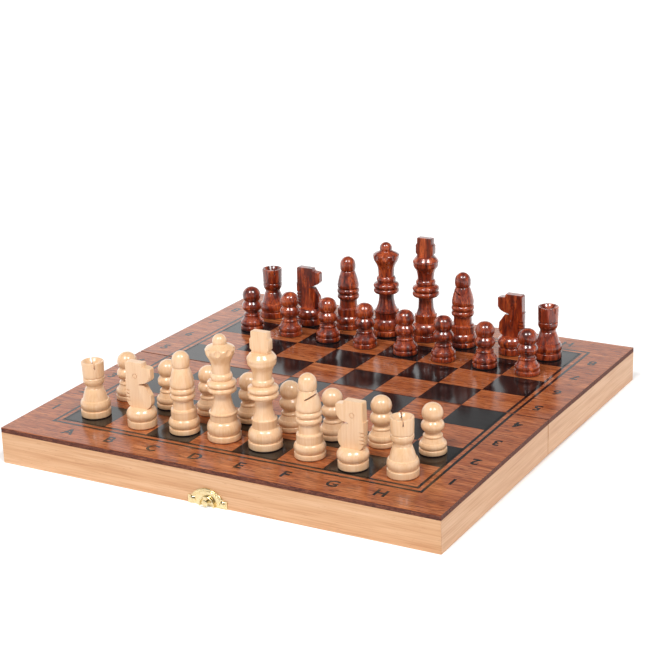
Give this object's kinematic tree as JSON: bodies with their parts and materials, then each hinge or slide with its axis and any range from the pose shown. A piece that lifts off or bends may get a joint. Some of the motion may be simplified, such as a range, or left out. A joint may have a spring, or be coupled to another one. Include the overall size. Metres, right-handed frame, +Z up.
{
  "type": "chess set with board",
  "caption": "folding wooden chess board, a hinged two-part box with brass clasp and printed squares, set with turned wooden chessmen in the opening position",
  "frame": {"origin": "on the table, under the middle of the fold", "axes": "+X along the near edge from file a to file h, +Y from the first rank to the eighth, +Z up"},
  "size_m": [0.29, 0.298, 0.093],
  "materials": {
    "pine": "pale pine, clear satin varnish",
    "veneer": "red-brown printed veneer, satin",
    "ink": "black printed squares and lines, satin",
    "brass": "stamped brass, bright",
    "pale_lacquer": "cream wood, gloss lacquer",
    "red_lacquer": "red-brown stained wood, gloss lacquer"
  },
  "bodies": {
    "front_half": {"front_panel": "veneer", "front_print": "ink", "front_rail": "pine", "front_fold_rail": "pine", "front_hinge_screws": "brass", "front_side_rail_left": "pine", "front_side_rail_right": "pine", "front_hinge_leaf_left": "brass", "front_hinge_leaf_right": "brass", "hinge_pin_left": "brass", "hinge_pin_right": "brass", "catch_plate": "brass", "catch_stud": "brass", "catch_nails": "brass"},
    "rear_half": {"rear_panel": "veneer", "rear_print": "ink", "rear_rail": "pine", "rear_fold_rail": "pine", "rear_hinge_screws": "brass", "rear_side_rail_left": "pine", "rear_side_rail_right": "pine", "rear_hinge_leaf_left": "brass", "rear_hinge_leaf_right": "brass", "latch_plate": "brass", "latch_nails": "brass", "latch_pivot": "brass"},
    "hook": {"latch_hook": "brass"},
    "white_rook_a_man": {"white_rook_a": "pale_lacquer"},
    "white_knight_b_man": {"white_knight_b": "pale_lacquer"},
    "white_bishop_c_man": {"white_bishop_c": "pale_lacquer"},
    "white_queen_d_man": {"white_queen_d": "pale_lacquer"},
    "white_king_e_man": {"white_king_e": "pale_lacquer"},
    "white_bishop_f_man": {"white_bishop_f": "pale_lacquer"},
    "white_knight_g_man": {"white_knight_g": "pale_lacquer"},
    "white_rook_h_man": {"white_rook_h": "pale_lacquer"},
    "white_pawn_a_man": {"white_pawn_a": "pale_lacquer"},
    "white_pawn_b_man": {"white_pawn_b": "pale_lacquer"},
    "white_pawn_c_man": {"white_pawn_c": "pale_lacquer"},
    "white_pawn_d_man": {"white_pawn_d": "pale_lacquer"},
    "white_pawn_e_man": {"white_pawn_e": "pale_lacquer"},
    "white_pawn_f_man": {"white_pawn_f": "pale_lacquer"},
    "white_pawn_g_man": {"white_pawn_g": "pale_lacquer"},
    "white_pawn_h_man": {"white_pawn_h": "pale_lacquer"},
    "black_rook_a_man": {"black_rook_a": "red_lacquer"},
    "black_knight_b_man": {"black_knight_b": "red_lacquer"},
    "black_bishop_c_man": {"black_bishop_c": "red_lacquer"},
    "black_queen_d_man": {"black_queen_d": "red_lacquer"},
    "black_king_e_man": {"black_king_e": "red_lacquer"},
    "black_bishop_f_man": {"black_bishop_f": "red_lacquer"},
    "black_knight_g_man": {"black_knight_g": "red_lacquer"},
    "black_rook_h_man": {"black_rook_h": "red_lacquer"},
    "black_pawn_a_man": {"black_pawn_a": "red_lacquer"},
    "black_pawn_b_man": {"black_pawn_b": "red_lacquer"},
    "black_pawn_c_man": {"black_pawn_c": "red_lacquer"},
    "black_pawn_d_man": {"black_pawn_d": "red_lacquer"},
    "black_pawn_e_man": {"black_pawn_e": "red_lacquer"},
    "black_pawn_f_man": {"black_pawn_f": "red_lacquer"},
    "black_pawn_g_man": {"black_pawn_g": "red_lacquer"},
    "black_pawn_h_man": {"black_pawn_h": "red_lacquer"}
  },
  "joints": [
    {"name": "board_fold", "type": "hinge", "parent": "front_half", "child": "rear_half", "pos_m": [0, 0, 0.0015], "axis": [-1, 0, 0], "range_deg": [-1.1, 178.7]},
    {"name": "latch_swing", "type": "hinge", "parent": "rear_half", "child": "hook", "pos_m": [0, 0.14739, 0.00458], "axis": [0, 0.9999, -0.0103], "range_deg": [0, 90]},
    {"name": "lift_white_rook_a", "type": "slide", "parent": "front_half", "child": "white_rook_a_man", "axis": [0, -0.0103, 0.9999], "range_m": [0, 0.08]},
    {"name": "lift_white_knight_b", "type": "slide", "parent": "front_half", "child": "white_knight_b_man", "axis": [0, -0.0103, 0.9999], "range_m": [0, 0.08]},
    {"name": "lift_white_bishop_c", "type": "slide", "parent": "front_half", "child": "white_bishop_c_man", "axis": [0, -0.0103, 0.9999], "range_m": [0, 0.08]},
    {"name": "lift_white_queen_d", "type": "slide", "parent": "front_half", "child": "white_queen_d_man", "axis": [0, -0.0103, 0.9999], "range_m": [0, 0.08]},
    {"name": "lift_white_king_e", "type": "slide", "parent": "front_half", "child": "white_king_e_man", "axis": [0, -0.0103, 0.9999], "range_m": [0, 0.08]},
    {"name": "lift_white_bishop_f", "type": "slide", "parent": "front_half", "child": "white_bishop_f_man", "axis": [0, -0.0103, 0.9999], "range_m": [0, 0.08]},
    {"name": "lift_white_knight_g", "type": "slide", "parent": "front_half", "child": "white_knight_g_man", "axis": [0, -0.0103, 0.9999], "range_m": [0, 0.08]},
    {"name": "lift_white_rook_h", "type": "slide", "parent": "front_half", "child": "white_rook_h_man", "axis": [0, -0.0103, 0.9999], "range_m": [0, 0.08]},
    {"name": "lift_white_pawn_a", "type": "slide", "parent": "front_half", "child": "white_pawn_a_man", "axis": [0, -0.0103, 0.9999], "range_m": [0, 0.08]},
    {"name": "lift_white_pawn_b", "type": "slide", "parent": "front_half", "child": "white_pawn_b_man", "axis": [0, -0.0103, 0.9999], "range_m": [0, 0.08]},
    {"name": "lift_white_pawn_c", "type": "slide", "parent": "front_half", "child": "white_pawn_c_man", "axis": [0, -0.0103, 0.9999], "range_m": [0, 0.08]},
    {"name": "lift_white_pawn_d", "type": "slide", "parent": "front_half", "child": "white_pawn_d_man", "axis": [0, -0.0103, 0.9999], "range_m": [0, 0.08]},
    {"name": "lift_white_pawn_e", "type": "slide", "parent": "front_half", "child": "white_pawn_e_man", "axis": [0, -0.0103, 0.9999], "range_m": [0, 0.08]},
    {"name": "lift_white_pawn_f", "type": "slide", "parent": "front_half", "child": "white_pawn_f_man", "axis": [0, -0.0103, 0.9999], "range_m": [0, 0.08]},
    {"name": "lift_white_pawn_g", "type": "slide", "parent": "front_half", "child": "white_pawn_g_man", "axis": [0, -0.0103, 0.9999], "range_m": [0, 0.08]},
    {"name": "lift_white_pawn_h", "type": "slide", "parent": "front_half", "child": "white_pawn_h_man", "axis": [0, -0.0103, 0.9999], "range_m": [0, 0.08]},
    {"name": "lift_black_rook_a", "type": "slide", "parent": "rear_half", "child": "black_rook_a_man", "axis": [0, 0.0103, 0.9999], "range_m": [0, 0.08]},
    {"name": "lift_black_knight_b", "type": "slide", "parent": "rear_half", "child": "black_knight_b_man", "axis": [0, 0.0103, 0.9999], "range_m": [0, 0.08]},
    {"name": "lift_black_bishop_c", "type": "slide", "parent": "rear_half", "child": "black_bishop_c_man", "axis": [0, 0.0103, 0.9999], "range_m": [0, 0.08]},
    {"name": "lift_black_queen_d", "type": "slide", "parent": "rear_half", "child": "black_queen_d_man", "axis": [0, 0.0103, 0.9999], "range_m": [0, 0.08]},
    {"name": "lift_black_king_e", "type": "slide", "parent": "rear_half", "child": "black_king_e_man", "axis": [0, 0.0103, 0.9999], "range_m": [0, 0.08]},
    {"name": "lift_black_bishop_f", "type": "slide", "parent": "rear_half", "child": "black_bishop_f_man", "axis": [0, 0.0103, 0.9999], "range_m": [0, 0.08]},
    {"name": "lift_black_knight_g", "type": "slide", "parent": "rear_half", "child": "black_knight_g_man", "axis": [0, 0.0103, 0.9999], "range_m": [0, 0.08]},
    {"name": "lift_black_rook_h", "type": "slide", "parent": "rear_half", "child": "black_rook_h_man", "axis": [0, 0.0103, 0.9999], "range_m": [0, 0.08]},
    {"name": "lift_black_pawn_a", "type": "slide", "parent": "rear_half", "child": "black_pawn_a_man", "axis": [0, 0.0103, 0.9999], "range_m": [0, 0.08]},
    {"name": "lift_black_pawn_b", "type": "slide", "parent": "rear_half", "child": "black_pawn_b_man", "axis": [0, 0.0103, 0.9999], "range_m": [0, 0.08]},
    {"name": "lift_black_pawn_c", "type": "slide", "parent": "rear_half", "child": "black_pawn_c_man", "axis": [0, 0.0103, 0.9999], "range_m": [0, 0.08]},
    {"name": "lift_black_pawn_d", "type": "slide", "parent": "rear_half", "child": "black_pawn_d_man", "axis": [0, 0.0103, 0.9999], "range_m": [0, 0.08]},
    {"name": "lift_black_pawn_e", "type": "slide", "parent": "rear_half", "child": "black_pawn_e_man", "axis": [0, 0.0103, 0.9999], "range_m": [0, 0.08]},
    {"name": "lift_black_pawn_f", "type": "slide", "parent": "rear_half", "child": "black_pawn_f_man", "axis": [0, 0.0103, 0.9999], "range_m": [0, 0.08]},
    {"name": "lift_black_pawn_g", "type": "slide", "parent": "rear_half", "child": "black_pawn_g_man", "axis": [0, 0.0103, 0.9999], "range_m": [0, 0.08]},
    {"name": "lift_black_pawn_h", "type": "slide", "parent": "rear_half", "child": "black_pawn_h_man", "axis": [0, 0.0103, 0.9999], "range_m": [0, 0.08]}
  ]
}
